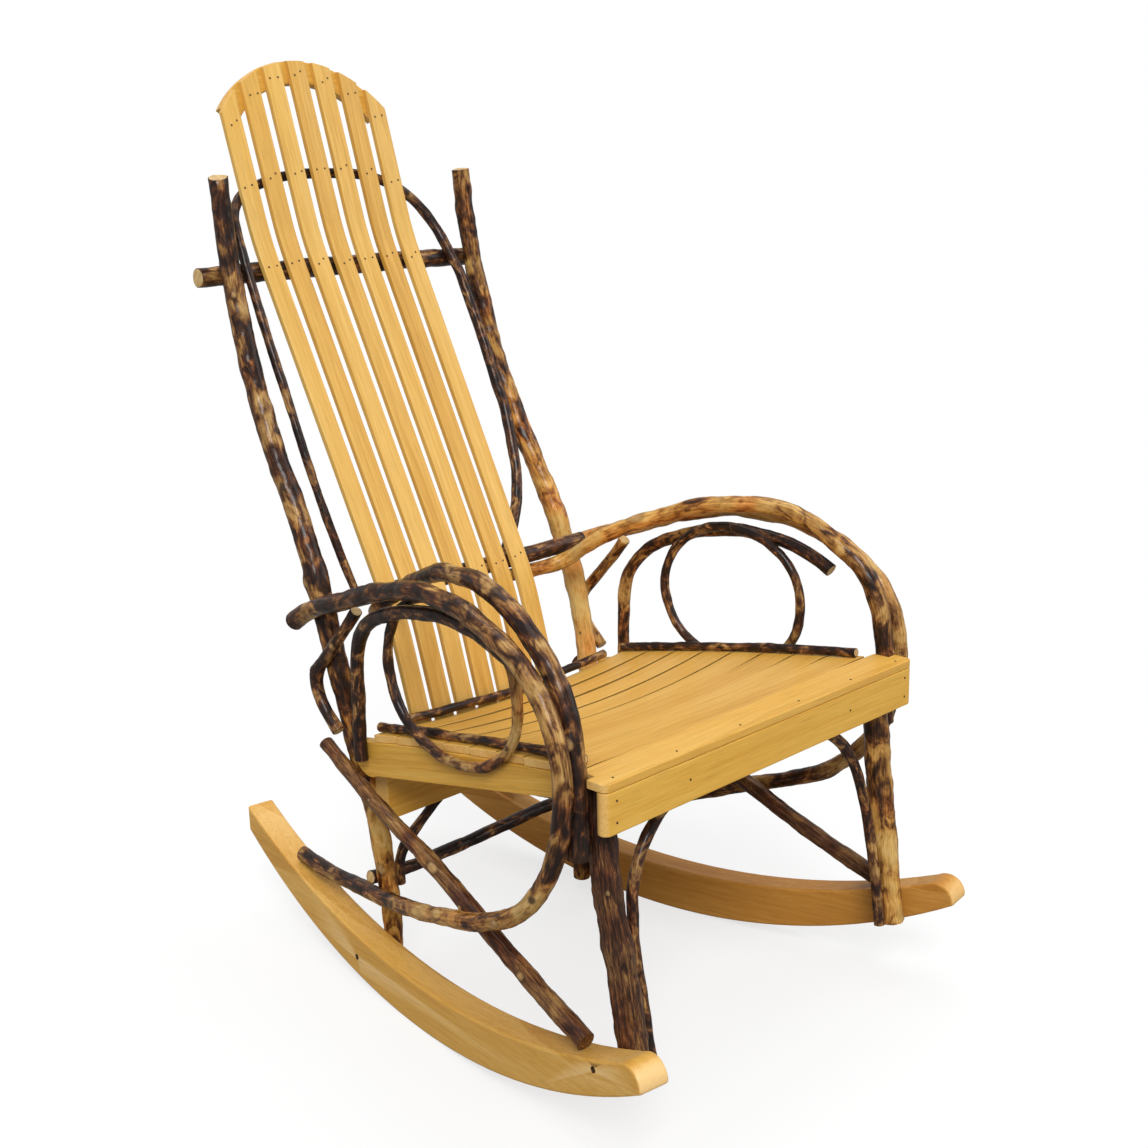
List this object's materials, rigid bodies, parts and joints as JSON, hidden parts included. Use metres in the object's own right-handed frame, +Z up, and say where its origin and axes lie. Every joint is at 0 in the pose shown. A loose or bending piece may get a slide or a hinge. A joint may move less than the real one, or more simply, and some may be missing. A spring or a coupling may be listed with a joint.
{
  "type": "rocking chair",
  "caption": "Rustic rocking chair: bent bark-covered sticks form legs, posts and looped arms around a dished slatted oak seat and a tall arched slat back.",
  "frame": {"origin": "floor level, at the middle of the object's footprint box", "axes": "-Y is the front that a sitter faces, +X is the sitter's left, +Z is up"},
  "size_m": [0.6434, 0.9351, 1.21],
  "materials": {
    "stick_bark": "satin",
    "twig_bark": "satin",
    "slat_oak": "satin",
    "board_oak": "satin",
    "rocker_oak": "satin"
  },
  "bodies": {
    "root": {"back_hoop": "twig_bark", "back_rail": "board_oak", "back_slat_1": "slat_oak", "back_slat_2": "slat_oak", "back_slat_3": "slat_oak", "back_slat_4": "slat_oak", "back_slat_5": "slat_oak", "back_slat_6": "slat_oak", "back_slat_7": "slat_oak", "centre_rail": "board_oak", "front_apron": "board_oak", "front_arch": "twig_bark", "left_arm_support_bow": "stick_bark", "left_back_post": "stick_bark", "left_crooked_brace": "stick_bark", "left_diagonal_stay": "stick_bark", "left_front_leg": "stick_bark", "left_inner_arm_bow": "stick_bark", "left_outer_arm_bow": "stick_bark", "left_rocker": "rocker_oak", "left_seat_trim": "twig_bark", "left_side_rail": "board_oak", "left_side_ring": "twig_bark", "lower_cross_bar": "stick_bark", "rear_arch": "twig_bark", "rear_seat_trim": "twig_bark", "rear_stretcher": "stick_bark", "right_arm_support_bow": "stick_bark", "right_back_post": "stick_bark", "right_crooked_brace": "stick_bark", "right_diagonal_stay": "stick_bark", "right_front_leg": "stick_bark", "right_inner_arm_bow": "stick_bark", "right_outer_arm_bow": "stick_bark", "right_rocker": "rocker_oak", "right_seat_trim": "twig_bark", "right_side_rail": "board_oak", "right_side_ring": "twig_bark", "seat_slat_1": "slat_oak", "seat_slat_2": "slat_oak", "seat_slat_3": "slat_oak", "seat_slat_4": "slat_oak", "seat_slat_5": "slat_oak", "seat_slat_6": "slat_oak", "seat_slat_7": "slat_oak", "seat_slat_8": "slat_oak", "seat_slat_9": "slat_oak", "top_cleat": "board_oak", "upper_cross_bar": "stick_bark"}
  },
  "joints": []
}
